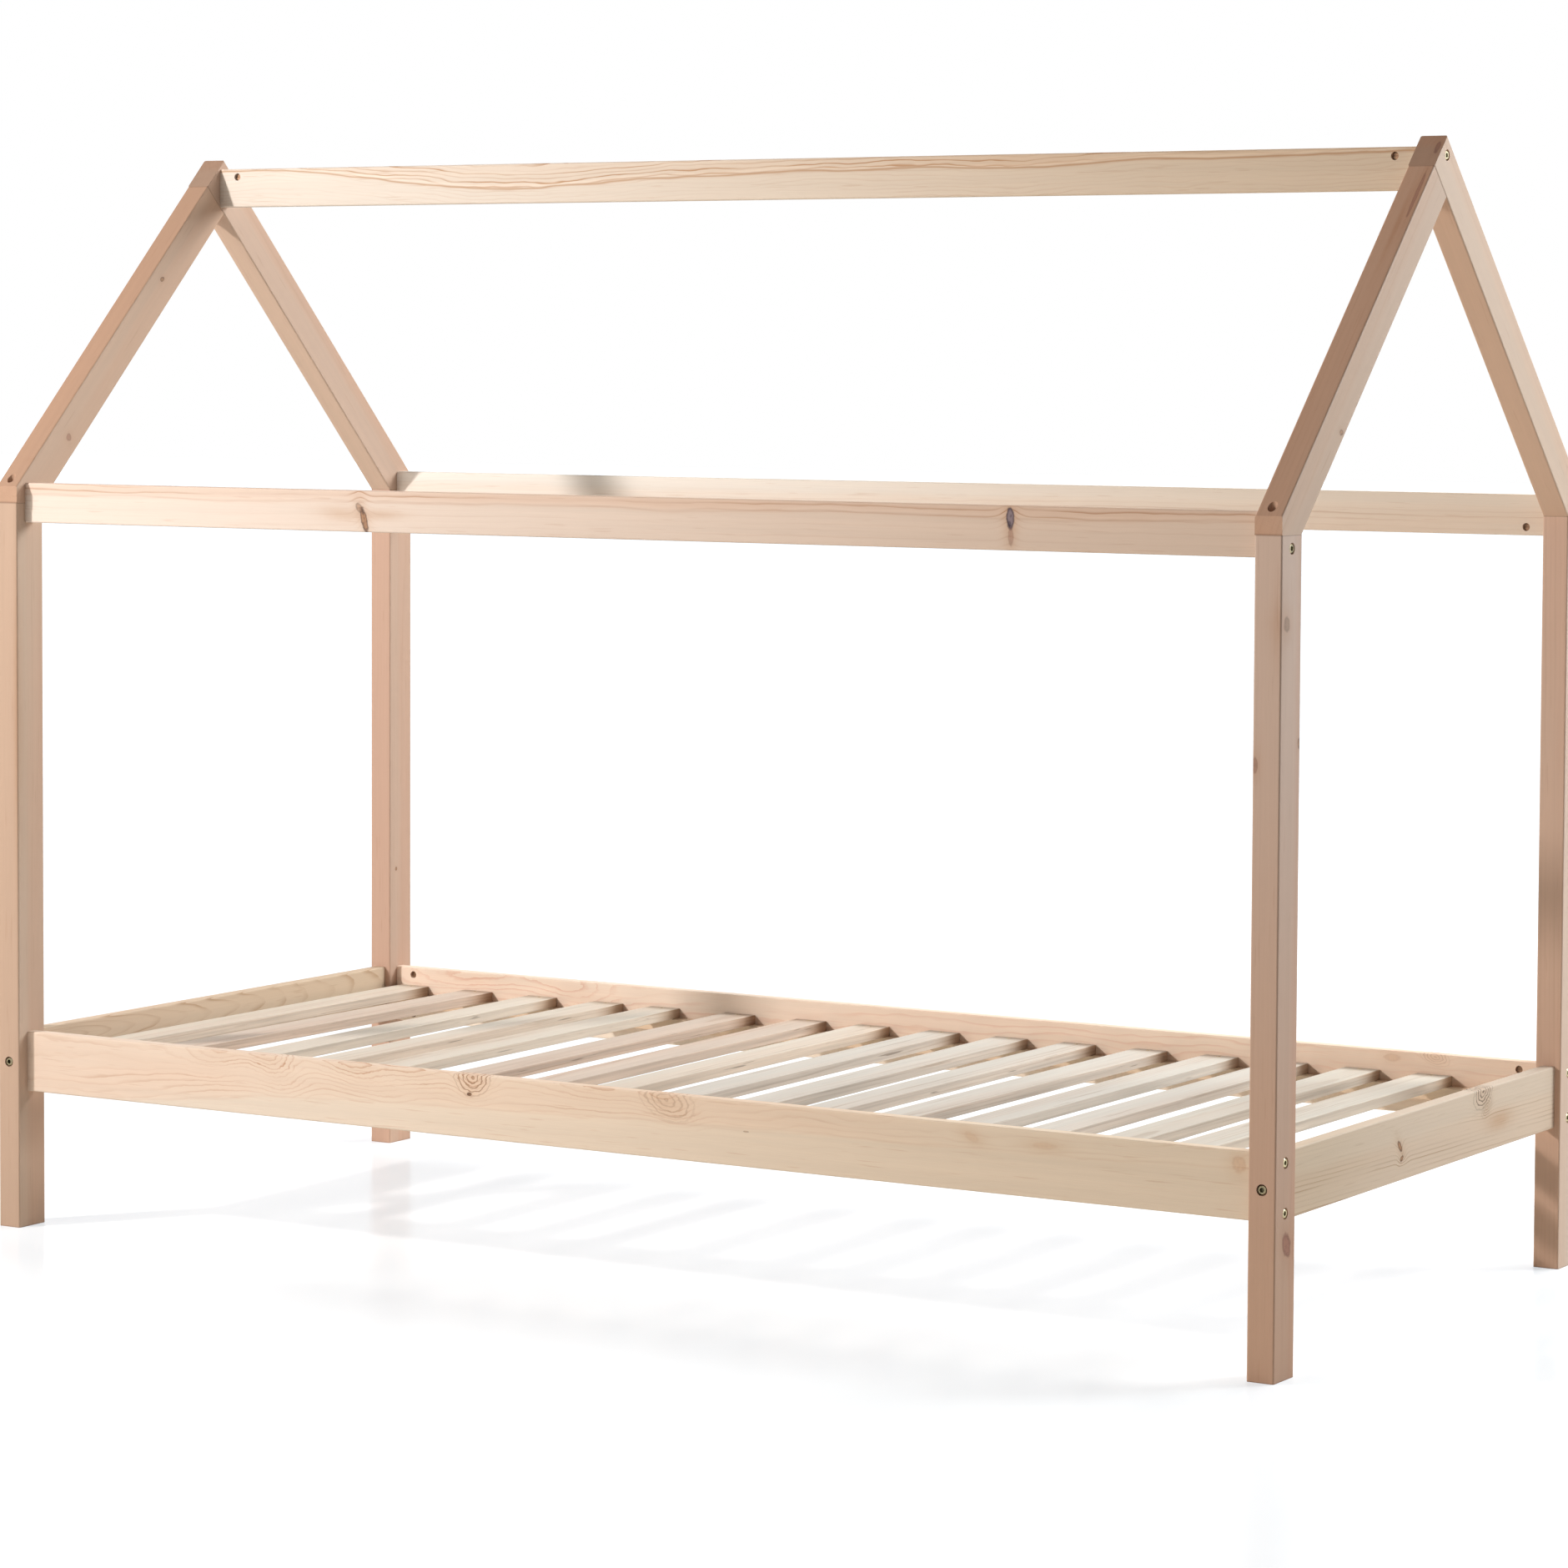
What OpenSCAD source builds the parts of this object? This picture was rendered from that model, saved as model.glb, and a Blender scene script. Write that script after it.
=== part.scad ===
// Child's house-shaped single bed in solid pine, lengths in millimetres.
// X runs along the bed, Y across it and Z up; the origin is on the floor under the bed's middle.

/* [Bed] */
// Overall length, outside the posts
bed_l = 2070; // [1700:10:2300]
// Overall width, outside the posts
bed_w = 980; // [850:10:1300]
// Height of the posts
post_h = 1064; // [850:1:1300]
// Slope of the roof, in degrees
roof_pitch = 45; // [40:1:50]

/* [Posts and rafters] */
// Thickness of the posts and rafters along the bed
post_t = 38; // [34:1:60]
// Depth of the posts across the bed
post_d = 58; // [52:1:80]
// Depth of the rafters, square to the slope
rafter_d = 58; // [50:1:80]
// Radius of the long edges of the posts, rafters, rails and beams
edge_r = 2.5; // [1:0.5:4]

/* [Rails and beams] */
// Thickness of the rails and beams
board_t = 20; // [18:1:28]
// Height of the side and end rails
rail_h = 88; // [80:1:140]
// Clear height under the rails
rail_z = 200; // [120:5:400]
// Height of the eaves beams and the ridge beam
beam_h = 58; // [50:1:80]
// How far the eaves beams reach below the tops of the posts
eave_drop = 29; // [24:1:36]
// How far the top of the ridge beam lies below the peak
ridge_drop = 14; // [12:1:20]

/* [Slatted base] */
// Width and height of the square ledger strips
ledger_s = 20; // [18:1:24]
// Height of the ledger's underside above the rail's underside
ledger_rise = 24; // [20:1:30]
// Width of a slat
slat_w = 55; // [40:1:70]
// Thickness of a slat
slat_t = 15; // [12:1:20]
// Gap between a slat's end and the side rail
slat_end_gap = 1; // [1:0.5:3]
// Gap between the left end rail and the first slat
slat_first_gap = 18; // [12:1:60]
// Gap between the last slat and the right end rail
slat_last_gap = 150; // [60:1:160]
// Radius of the slats' and ledgers' long edges
slat_r = 1.5; // [0.5:0.5:3]

/* [Bolts and barrel nuts] */
// Diameter of the bolts
bolt_d = 6; // [5:0.5:8]
// Length of the bolts along the bed, under the head
bolt_l = 72; // [68:1:75]
// Length of the end rails' bolts, which pass through the depth of a post
end_bolt_l = 92; // [90:1:96]
// Diameter of the bolt heads
head_d = 12; // [11:0.5:13]
// Height of the bolt heads
head_h = 6; // [4:0.5:6]
// Width of the chamfer around a bolt head
head_bevel = 1; // [0.5:0.5:1.5]
// Width of the hexagon socket across its flats
hex_w = 6; // [5:0.5:7]
// Diameter of the hole that the head is sunk into
sink_d = 15; // [14:0.5:16]
// Depth of the hole that the head is sunk into
sink_depth = 6.5; // [6.5:0.5:9]
// Distance of a bolt from the nearer long edge of its rail or beam
bolt_edge = 12; // [10:0.5:14]
// Diameter of the barrel nuts
nut_d = 10; // [9:0.5:12]
// Length of the barrel nuts
nut_l = 12; // [10:0.5:13]
// Gap around the barrel nuts
nut_gap = 0.6; // [0.3:0.1:0.8]
// Distance of the barrel nuts from the end of their rail or beam
nut_back = 33; // [30:1:34]

/* [Dowels and screws] */
// Diameter of the wooden dowels
dowel_d = 8; // [6:0.5:8]
// Length of the wooden dowels
dowel_l = 34; // [30:1:36]
// Length of a dowel in the thinner piece that it enters
dowel_in = 14; // [10:1:15]
// Diameter of the roof screws
screw_d = 7; // [5:0.5:7]
// Length of the roof screws under the head
screw_l = 70; // [60:1:80]
// Diameter of the roof screws' heads
screw_head_d = 12; // [11:0.5:13]
// Height of the roof screws' heads
screw_head_h = 4; // [3:0.5:5]
// Distance of the screw in a rafter's foot from the post's outer face
foot_screw_in = 11.5; // [10:0.5:13]
// Height of that screw's seat above the top of the post
foot_screw_up = 18; // [14:1:22]
// Distance of the dowel in a rafter's foot from the post's outer face
foot_dowel_in = 44; // [40:1:46]
// Height of the screw at the peak above the front rafter's underside
apex_screw_up = 14; // [12:1:18]
// Height of the dowel at the peak above the front rafter's underside
apex_dowel_up = 42; // [36:1:43]
// Diameter of the thin screws in the slats and ledgers
pin_d = 3.5; // [3:0.5:4]
// Diameter of the thin screws' countersunk heads
pin_head_d = 7; // [6:0.5:8]
// Height of the thin screws' heads
pin_head_h = 2.6; // [2:0.1:3]
// Width and depth of the slots in the thin screws and barrel nuts
slot_s = 1.2; // [0.8:0.1:1.5]
// Length of the screws in the slats
slat_screw_l = 28; // [25:1:30]
// Length of the screws in the ledgers
ledger_screw_l = 35; // [30:1:36]
// Gap around every bolt, dowel and screw
fit_gap = 0.15; // [0.1:0.05:0.3]

/* [Hidden] */
$fn = 32;
past = 1;

// Heights
rail_top = rail_z + rail_h;
rail_mid = rail_z + rail_h / 2;
ledger_z = rail_z + ledger_rise;
slat_z = ledger_z + ledger_s;
eave_z = post_h - eave_drop;
rafter_v = rafter_d / cos(roof_pitch);
slope_foot_z = post_h - post_d * tan(roof_pitch) + rafter_v;
peak_z = slope_foot_z + bed_w / 2 * tan(roof_pitch);
ridge_top = peak_z - ridge_drop;
ridge_z = ridge_top - beam_h;

// Places of the posts, rails and beams
post_x = bed_l / 2 - post_t / 2;
post_y = bed_w / 2 - post_d / 2;
rail_l = bed_l - 2 * post_t;
end_rail_l = bed_w - 2 * post_d;
rail_in_y = post_y - board_t / 2;
end_in_x = post_x - board_t / 2;

// Heights of the two bolts at each end of a side rail, and of the two dowels of an end rail
side_bolt_z = [rail_z + bolt_edge, rail_top - bolt_edge];
end_dowel_z = [rail_mid - rail_h / 4, rail_mid + rail_h / 4];

// The front rafter stops where it meets the underside of the back rafter
butt_y = -rafter_d / (2 * sin(roof_pitch));
butt_z = peak_z + butt_y * tan(roof_pitch);

// Slats: even spacing, how far each one was laid from it, and how many degrees it lies turned
slat_count = 16;
slat_l = 2 * (rail_in_y - slat_end_gap);
slat_first_x = -end_in_x + slat_first_gap + slat_w / 2;
slat_last_x = end_in_x - slat_last_gap - slat_w / 2;
slat_pitch = (slat_last_x - slat_first_x) / (slat_count - 1);
slat_shift = [0, 2, 19, 24, 11, 34, 46, 37, 37, 38, 29, 26, 25, 18, 14, 2];
slat_turn = [0, -0.6, 0.9, 0.6, 0.6, 1, 1.3, 1, 0.5, 0.9, 0.2, -0.2, 0, 0, 0.2, -0.5];
slat_screw_y = rail_in_y - ledger_s / 2;

// Ledger screws stand midway between the slats whose numbers are listed and the next ones
ledger_screw_after = [1, 4, 7, 10, 13, 15];

// Roof joints
foot_screw_y = bed_w / 2 - foot_screw_in;
foot_screw_z = post_h + foot_screw_up;
foot_dowel_y = bed_w / 2 - foot_dowel_in;

// Centre of slat number n along the bed
function slat_x(n) = slat_first_x + (n - 1) * slat_pitch + slat_shift[n - 1];

// Rectangle with round corners, centred
module round_rect(a, b, r) {
    square([a - 2 * r, b], center = true);
    square([a, b - 2 * r], center = true);
    for (sa = [-1, 1], sb = [-1, 1])
        translate([sa * (a / 2 - r), sb * (b / 2 - r)])
            circle(r);
}

// Bars with rounded long edges, centred along their length
module bar_x(length, w, h, r) {
    rotate([90, 0, 90])
        translate([0, 0, -length / 2])
            linear_extrude(length)
                round_rect(w, h, r);
}

module bar_y(length, w, h, r) {
    rotate([90, 0, 0])
        translate([0, 0, -length / 2])
            linear_extrude(length)
                round_rect(w, h, r);
}

// Turns something made along +Z so that it runs along +X, +Y or -Z
module to_x() {
    rotate([0, 90, 0])
        children();
}

module to_y() {
    rotate([-90, 0, 0])
        children();
}

module to_down() {
    rotate([180, 0, 0])
        children();
}

// Puts what is made for the right-hand back corner at another corner
module corner(side_x, side_y) {
    mirror([side_x < 0 ? 1 : 0, 0, 0])
        mirror([0, side_y < 0 ? 1 : 0, 0])
            children();
}

module each_corner() {
    for (sx = [-1, 1], sy = [-1, 1])
        corner(sx, sy)
            children();
}

module each_end() {
    for (sx = [-1, 1])
        corner(sx, 1)
            children();
}

// Bolt along +Z with the underside of its head at z = 0
module bolt(length) {
    difference() {
        union() {
            translate([0, 0, -head_h / 4])
                cylinder(d = bolt_d, h = length + head_h / 4);
            translate([0, 0, -head_h])
                cylinder(d1 = head_d - 2 * head_bevel, d2 = head_d, h = head_bevel);
            translate([0, 0, head_bevel - head_h])
                cylinder(d = head_d, h = head_h - head_bevel);
        }
        translate([0, 0, -head_h - past])
            cylinder(d = hex_w / cos(30), h = past + head_h / 2, $fn = 6);
    }
}

// Hole for that bolt: the sunk hole for its head, then the hole for its shank
module bolt_hole(length) {
    cylinder(d = bolt_d + 2 * fit_gap, h = length + fit_gap);
    translate([0, 0, -sink_depth - past])
        cylinder(d = sink_d, h = sink_depth + past);
}

// Barrel nut along Z, centred, with its cross bore along X and a slot in its top end
module barrel_nut() {
    difference() {
        translate([0, 0, -nut_l / 2])
            cylinder(d = nut_d, h = nut_l);
        translate([-nut_d, 0, 0])
            to_x()
                cylinder(d = bolt_d + fit_gap, h = 2 * nut_d);
        translate([-nut_d / 2, -slot_s / 2, nut_l / 2 - slot_s])
            cube([nut_d, slot_s, slot_s + past]);
    }
}

// Blind hole for a barrel nut, open towards +Z, in a board whose middle is at z = 0
module nut_hole() {
    translate([0, 0, -nut_l / 2 - fit_gap])
        cylinder(d = nut_d + 2 * nut_gap, h = board_t);
}

// Dowel along +Z from z = 0, with chamfered ends
module dowel(length) {
    bevel = 1;
    cylinder(d1 = dowel_d - 2 * bevel, d2 = dowel_d, h = bevel);
    translate([0, 0, bevel])
        cylinder(d = dowel_d, h = length - 2 * bevel);
    translate([0, 0, length - bevel])
        cylinder(d1 = dowel_d, d2 = dowel_d - 2 * bevel, h = bevel);
}

// Hole for a dowel, from z = -length to length, closed a little past each end
module dowel_hole(length) {
    translate([0, 0, -length - fit_gap])
        cylinder(d = dowel_d + 2 * fit_gap, h = 2 * (length + fit_gap));
}

// Roof screw along +Z with the underside of its head at z = 0
module roof_screw() {
    tip = screw_d;
    difference() {
        union() {
            translate([0, 0, -screw_head_h])
                cylinder(d = screw_head_d, h = screw_head_h);
            translate([0, 0, -screw_head_h / 4])
                cylinder(d = screw_d, h = screw_l - tip + screw_head_h / 4);
            translate([0, 0, screw_l - tip])
                cylinder(d1 = screw_d, d2 = screw_d / 3, h = tip);
        }
        translate([0, 0, -screw_head_h - past])
            cylinder(d = hex_w / cos(30), h = past + screw_head_h / 2, $fn = 6);
    }
}

module roof_screw_hole(head_room) {
    cylinder(d = screw_d + 2 * fit_gap, h = screw_l + fit_gap);
    translate([0, 0, -head_room])
        cylinder(d = screw_head_d + 4 * fit_gap, h = head_room);
}

// Countersunk screw along -Z with the top of its head at z = 0
module pin_screw(length) {
    slot_l = 0.6 * pin_head_d;
    tip = pin_d;
    difference() {
        union() {
            translate([0, 0, -pin_head_h])
                cylinder(d1 = pin_d, d2 = pin_head_d, h = pin_head_h);
            translate([0, 0, tip - length])
                cylinder(d = pin_d, h = length - tip - pin_head_h);
            translate([0, 0, -length])
                cylinder(d1 = pin_d / 3, d2 = pin_d, h = tip);
        }
        for (turn = [0, 90])
            rotate([0, 0, turn])
                translate([-slot_l / 2, -slot_s / 2, -slot_s])
                    cube([slot_l, slot_s, slot_s + past]);
    }
}

module pin_screw_hole(length) {
    wide = pin_d + 2 * fit_gap;
    translate([0, 0, -length - fit_gap])
        cylinder(d = wide, h = length + fit_gap + past);
    translate([0, 0, -pin_head_h])
        cylinder(d1 = wide, d2 = pin_head_d + 2 * fit_gap, h = pin_head_h);
    cylinder(d = pin_head_d + 2 * fit_gap, h = past);
}

// Places of the fittings at the right-hand back corner
module at_side_bolts() {
    for (z = side_bolt_z)
        translate([bed_l / 2 - sink_depth, post_y, z])
            mirror([1, 0, 0])
                to_x()
                    children();
}

module at_eave_bolt() {
    translate([bed_l / 2 - sink_depth, post_y, eave_z + bolt_edge])
        mirror([1, 0, 0])
            to_x()
                children();
}

module at_end_bolt() {
    translate([post_x, bed_w / 2 - sink_depth, rail_mid])
        mirror([0, 1, 0])
            to_y()
                children();
}

module at_ridge_bolt() {
    translate([bed_l / 2 - sink_depth, 0, ridge_top - bolt_edge])
        mirror([1, 0, 0])
            to_x()
                children();
}

// The barrel nuts open towards the inside of the bed
module at_side_nuts() {
    for (z = side_bolt_z)
        translate([rail_l / 2 - nut_back, post_y, z])
            mirror([0, 1, 0])
                to_y()
                    children();
}

module at_eave_nut() {
    translate([rail_l / 2 - nut_back, post_y, eave_z + bolt_edge])
        mirror([0, 1, 0])
            to_y()
                children();
}

module at_ridge_nut() {
    translate([rail_l / 2 - nut_back, 0, ridge_top - bolt_edge])
        mirror([0, 1, 0])
            to_y()
                children();
}

module at_end_nut() {
    translate([post_x, end_rail_l / 2 - nut_back, rail_mid])
        mirror([1, 0, 0])
            to_x()
                rotate([0, 0, 90])
                    children();
}

// Dowels start in the post or rafter and run into the rail or beam
module at_end_dowels() {
    for (z = end_dowel_z)
        translate([post_x, end_rail_l / 2 + dowel_in, z])
            mirror([0, 1, 0])
                to_y()
                    children();
}

module at_eave_dowel() {
    translate([rail_l / 2 + dowel_in, post_y, eave_z + beam_h - bolt_edge])
        mirror([1, 0, 0])
            to_x()
                children();
}

module at_ridge_dowel() {
    translate([rail_l / 2 + dowel_in, 0, ridge_z + bolt_edge])
        mirror([1, 0, 0])
            to_x()
                children();
}

module at_foot_dowel() {
    translate([post_x, foot_dowel_y, post_h - dowel_l / 2])
        children();
}

module at_foot_screw() {
    translate([post_x, foot_screw_y, foot_screw_z])
        to_down()
            children();
}

// Along the front rafter's middle line, at a height above its underside, from the butt joint
module at_apex(up, from) {
    translate([post_x, 0, peak_z - rafter_v])
        rotate([-90 + roof_pitch, 0, 0])
            translate([0, -up, from])
                children();
}

module at_apex_dowel() {
    at_apex(apex_dowel_up, -dowel_l / 2)
        children();
}

module at_apex_screw() {
    at_apex(apex_screw_up, rafter_d - screw_head_h - past)
        to_down()
            children();
}

// Posts
module post(side_x, side_y) {
    color([0.80, 0.64, 0.53])
        corner(side_x, side_y)
            difference() {
                translate([post_x, post_y, 0])
                    linear_extrude(post_h)
                        round_rect(post_t, post_d, edge_r);
                at_side_bolts()
                    bolt_hole(bolt_l);
                at_eave_bolt()
                    bolt_hole(bolt_l);
                at_end_bolt()
                    bolt_hole(end_bolt_l);
                at_end_dowels()
                    dowel_hole_from(dowel_l);
                at_foot_dowel()
                    dowel_hole_from(dowel_l);
                at_foot_screw()
                    roof_screw_hole(past);
            }
}

// Hole for a dowel that starts at z = 0
module dowel_hole_from(length) {
    translate([0, 0, length / 2])
        dowel_hole(length / 2);
}

// Bar along a rafter's slope, longer than the rafter, on the side of +Y
module slope_bar() {
    translate([post_x, 0, peak_z - rafter_v])
        rotate([-roof_pitch, 0, 0])
            translate([0, bed_w / 2, rafter_d / 2])
                bar_y(2 * bed_w, post_t, rafter_d, edge_r);
}

// Outline of the back rafter, seen along the bed, and of the front one, mirrored to +Y
module back_outline() {
    polygon([
        [bed_w / 2, post_h], [bed_w / 2 - post_d, post_h], [0, peak_z - rafter_v],
        [butt_y, butt_z], [0, peak_z], [bed_w / 2, slope_foot_z]
    ]);
}

module front_outline() {
    polygon([
        [bed_w / 2, post_h], [bed_w / 2 - post_d, post_h], [0, peak_z - rafter_v],
        [-butt_y, butt_z], [bed_w / 2, slope_foot_z]
    ]);
}

module rafter_blank() {
    intersection() {
        slope_bar();
        translate([post_x - post_t / 2, 0, 0])
            rotate([90, 0, 90])
                linear_extrude(post_t)
                    children();
    }
}

module foot_holes() {
    at_eave_dowel()
        dowel_hole_from(dowel_l);
    at_foot_dowel()
        dowel_hole_from(dowel_l);
    at_foot_screw()
        roof_screw_hole(post_d);
}

module rafter_back(side_x) {
    color([0.80, 0.64, 0.53])
        corner(side_x, 1)
            difference() {
                rafter_blank()
                    back_outline();
                foot_holes();
                at_ridge_bolt()
                    bolt_hole(bolt_l);
                at_ridge_dowel()
                    dowel_hole_from(dowel_l);
                at_apex_dowel()
                    dowel_hole_from(dowel_l);
                at_apex_screw()
                    roof_screw_hole(post_d);
            }
}

module rafter_front(side_x) {
    color([0.80, 0.64, 0.53])
        corner(side_x, 1)
            difference() {
                mirror([0, 1, 0])
                    rafter_blank()
                        front_outline();
                mirror([0, 1, 0])
                    foot_holes();
                at_apex_dowel()
                    dowel_hole_from(dowel_l);
                at_apex_screw()
                    roof_screw_hole(past);
            }
}

// Rails and beams
module side_rail(side_y) {
    color([0.94, 0.83, 0.72])
        corner(1, side_y)
            difference() {
                translate([0, post_y, rail_mid])
                    bar_x(rail_l, board_t, rail_h, edge_r);
                each_end() {
                    at_side_bolts()
                        bolt_hole(bolt_l);
                    at_side_nuts()
                        nut_hole();
                }
                at_ledger_screws()
                    pin_screw_hole(ledger_screw_l);
            }
}

module end_rail(side_x) {
    color([0.86, 0.77, 0.67])
        corner(side_x, 1)
            difference() {
                translate([post_x, 0, rail_mid])
                    bar_y(end_rail_l, board_t, rail_h, edge_r);
                for (sy = [-1, 1])
                    corner(1, sy) {
                        at_end_bolt()
                            bolt_hole(end_bolt_l);
                        at_end_nut()
                            nut_hole();
                        at_end_dowels()
                            dowel_hole_from(dowel_l);
                    }
            }
}

module eave_beam(side_y) {
    color([0.97, 0.89, 0.80])
        corner(1, side_y)
            difference() {
                translate([0, post_y, eave_z + beam_h / 2])
                    bar_x(rail_l, board_t, beam_h, edge_r);
                each_end() {
                    at_eave_bolt()
                        bolt_hole(bolt_l);
                    at_eave_nut()
                        nut_hole();
                    at_eave_dowel()
                        dowel_hole_from(dowel_l);
                }
            }
}

module ridge_beam() {
    color([0.97, 0.89, 0.80])
        difference() {
            translate([0, 0, ridge_z + beam_h / 2])
                bar_x(rail_l, board_t, beam_h, edge_r);
            each_end() {
                at_ridge_bolt()
                    bolt_hole(bolt_l);
                at_ridge_nut()
                    nut_hole();
                at_ridge_dowel()
                    dowel_hole_from(dowel_l);
            }
        }
}

// Slatted base
module at_ledger_screws() {
    for (n = ledger_screw_after)
        translate([(slat_x(n) + slat_x(n + 1)) / 2, rail_in_y - ledger_s, ledger_z + ledger_s / 2])
            to_y()
                to_down()
                    children();
}

module at_slat(n) {
    translate([slat_x(n), 0, slat_z + slat_t / 2])
        rotate([0, 0, slat_turn[n - 1]])
            children();
}

module at_slat_screws(n) {
    for (sy = [-1, 1])
        at_slat(n)
            translate([0, sy * slat_screw_y, slat_t / 2])
                children();
}

module slat_ledger(side_y) {
    color([0.90, 0.80, 0.69])
        difference() {
            corner(1, side_y)
                difference() {
                    translate([0, rail_in_y - ledger_s / 2, ledger_z + ledger_s / 2])
                        bar_x(rail_l - 2 * slat_end_gap, ledger_s, ledger_s, slat_r);
                    at_ledger_screws()
                        pin_screw_hole(ledger_screw_l);
                }
            for (n = [1 : slat_count])
                at_slat_screws(n)
                    pin_screw_hole(slat_screw_l);
        }
}

module slat(n) {
    color([0.90, 0.86, 0.78])
        difference() {
            at_slat(n)
                bar_y(slat_l, slat_w, slat_t, slat_r);
            at_slat_screws(n)
                pin_screw_hole(slat_screw_l);
        }
}

// Fittings
module side_rail_bolts() {
    color([0.78, 0.77, 0.70])
        each_corner()
            at_side_bolts()
                bolt(bolt_l);
}

module side_rail_nuts() {
    color([0.72, 0.71, 0.68])
        each_corner()
            at_side_nuts()
                barrel_nut();
}

module end_rail_bolts() {
    color([0.78, 0.77, 0.70])
        each_corner()
            at_end_bolt()
                bolt(end_bolt_l);
}

module end_rail_nuts() {
    color([0.72, 0.71, 0.68])
        each_corner()
            at_end_nut()
                barrel_nut();
}

module eave_bolts() {
    color([0.78, 0.77, 0.70])
        each_corner()
            at_eave_bolt()
                bolt(bolt_l);
}

module eave_nuts() {
    color([0.72, 0.71, 0.68])
        each_corner()
            at_eave_nut()
                barrel_nut();
}

module ridge_bolts() {
    color([0.78, 0.77, 0.70])
        each_end()
            at_ridge_bolt()
                bolt(bolt_l);
}

module ridge_nuts() {
    color([0.72, 0.71, 0.68])
        each_end()
            at_ridge_nut()
                barrel_nut();
}

module rafter_foot_screws() {
    color([0.78, 0.77, 0.70])
        each_corner()
            at_foot_screw()
                roof_screw();
}

module apex_screws() {
    color([0.78, 0.77, 0.70])
        each_end()
            at_apex_screw()
                roof_screw();
}

module slat_screws() {
    color([0.78, 0.77, 0.70])
        for (n = [1 : slat_count])
            at_slat_screws(n)
                pin_screw(slat_screw_l);
}

module ledger_screws() {
    color([0.78, 0.77, 0.70])
        for (sy = [-1, 1])
            corner(1, sy)
                at_ledger_screws()
                    pin_screw(ledger_screw_l);
}

module rafter_foot_dowels() {
    color([0.85, 0.70, 0.52])
        each_corner()
            at_foot_dowel()
                dowel(dowel_l);
}

module apex_dowels() {
    color([0.85, 0.70, 0.52])
        each_end()
            at_apex_dowel()
                dowel(dowel_l);
}

module eave_dowels() {
    color([0.85, 0.70, 0.52])
        each_corner()
            at_eave_dowel()
                dowel(dowel_l);
}

module ridge_dowels() {
    color([0.85, 0.70, 0.52])
        each_end()
            at_ridge_dowel()
                dowel(dowel_l);
}

module end_rail_dowels() {
    color([0.85, 0.70, 0.52])
        each_corner()
            at_end_dowels()
                dowel(dowel_l);
}

post(-1, -1);  // post_front_left
post(1, -1);  // post_front_right
post(-1, 1);  // post_back_left
post(1, 1);  // post_back_right
rafter_front(-1);  // rafter_front_left
rafter_front(1);  // rafter_front_right
rafter_back(-1);  // rafter_back_left
rafter_back(1);  // rafter_back_right
ridge_beam();
eave_beam(-1);  // eave_beam_front
eave_beam(1);  // eave_beam_back
side_rail(-1);  // side_rail_front
side_rail(1);  // side_rail_back
end_rail(-1);  // end_rail_left
end_rail(1);  // end_rail_right
slat_ledger(-1);  // slat_ledger_front
slat_ledger(1);  // slat_ledger_back
slat(1);  // slat_01
slat(2);  // slat_02
slat(3);  // slat_03
slat(4);  // slat_04
slat(5);  // slat_05
slat(6);  // slat_06
slat(7);  // slat_07
slat(8);  // slat_08
slat(9);  // slat_09
slat(10);  // slat_10
slat(11);  // slat_11
slat(12);  // slat_12
slat(13);  // slat_13
slat(14);  // slat_14
slat(15);  // slat_15
slat(16);  // slat_16
side_rail_bolts();
side_rail_nuts();
end_rail_bolts();
end_rail_nuts();
eave_bolts();
eave_nuts();
ridge_bolts();
ridge_nuts();
rafter_foot_screws();
apex_screws();
slat_screws();
ledger_screws();
rafter_foot_dowels();
apex_dowels();
eave_dowels();
ridge_dowels();
end_rail_dowels();
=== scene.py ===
# Child's house-frame bed in solid pine: the finish of every piece, a pale floor, light and camera.
import math
import random

import bpy
from mathutils import Matrix, Vector

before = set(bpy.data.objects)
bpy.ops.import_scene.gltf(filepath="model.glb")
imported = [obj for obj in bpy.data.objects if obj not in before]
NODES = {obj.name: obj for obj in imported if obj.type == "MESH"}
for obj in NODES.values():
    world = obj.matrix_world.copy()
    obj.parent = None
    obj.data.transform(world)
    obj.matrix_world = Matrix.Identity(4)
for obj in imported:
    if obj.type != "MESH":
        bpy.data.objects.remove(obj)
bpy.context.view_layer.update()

WHITE = (1.0, 1.0, 1.0, 1.0)
HALF = (0.5, 0.5, 0.5)


def rgb(red, green, blue):
    """Shader colour from the levels seen on a screen, 0 to 255."""
    def linear(value):
        share = value / 255
        return share / 12.92 if share <= 0.04045 else ((share + 0.055) / 1.055) ** 2.4

    return (linear(red), linear(green), linear(blue), 1.0)


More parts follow.
